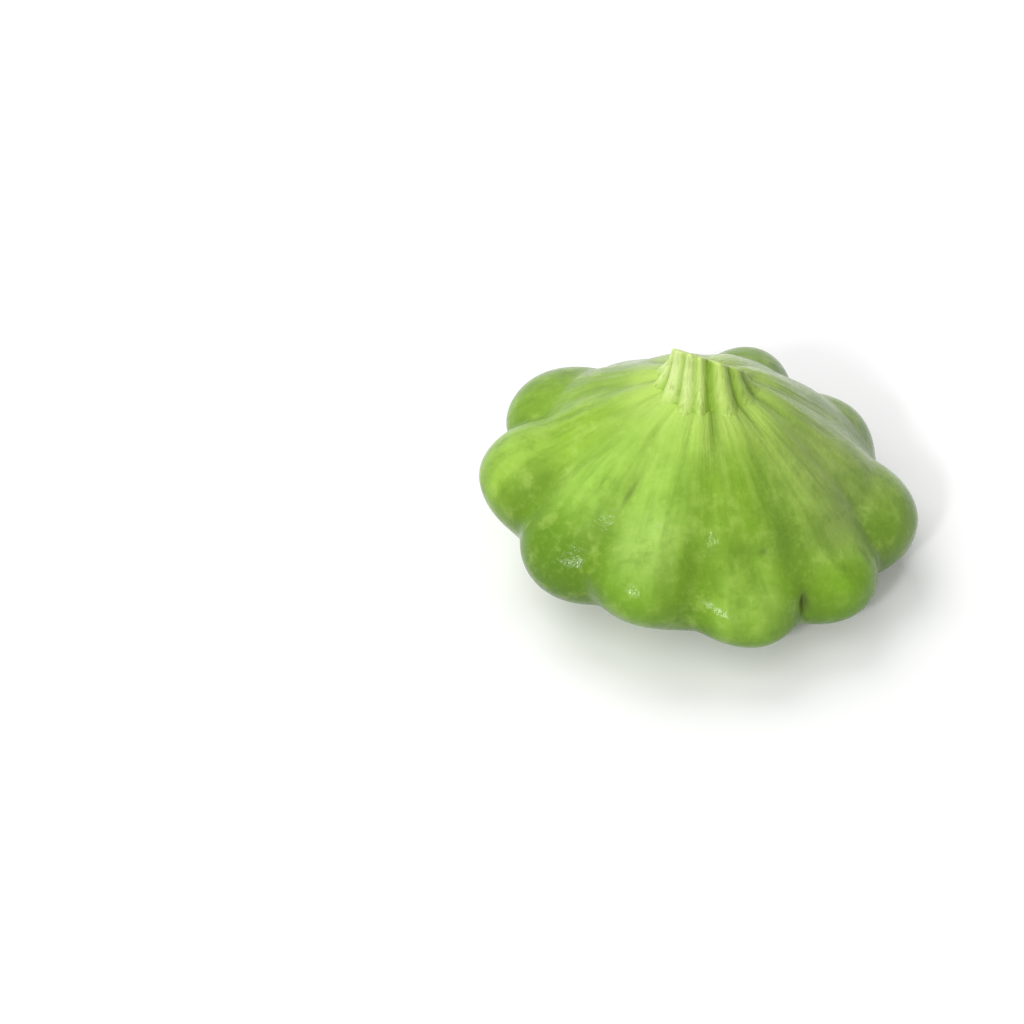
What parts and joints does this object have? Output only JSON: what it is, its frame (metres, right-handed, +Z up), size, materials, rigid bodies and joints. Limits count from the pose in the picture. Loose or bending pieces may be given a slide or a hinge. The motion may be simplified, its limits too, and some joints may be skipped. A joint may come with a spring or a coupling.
{
  "type": "pattypan squash",
  "caption": "Green pattypan squash: a flattened, cone-shouldered summer squash with a scalloped rim of rounded lobes and the cut, ribbed stub of its stem.",
  "frame": {"origin": "on the surface that the squash rests on, straight below the middle of its ring of lobes", "axes": "+Z up, from the blossom end to the stem; -Y towards the front; +X to the right, the side that the fruit leans to"},
  "size_m": [0.0957, 0.0923, 0.0558],
  "materials": {
    "skin": "waxy green skin, yellow-green on the shoulder and deeper green on the lobes, with a fine pale mottle",
    "stem": "pale yellow-green, ribbed and fibrous, with a dry cut face"
  },
  "bodies": {
    "root": {"fruit": "skin", "stem": "stem"}
  },
  "joints": []
}
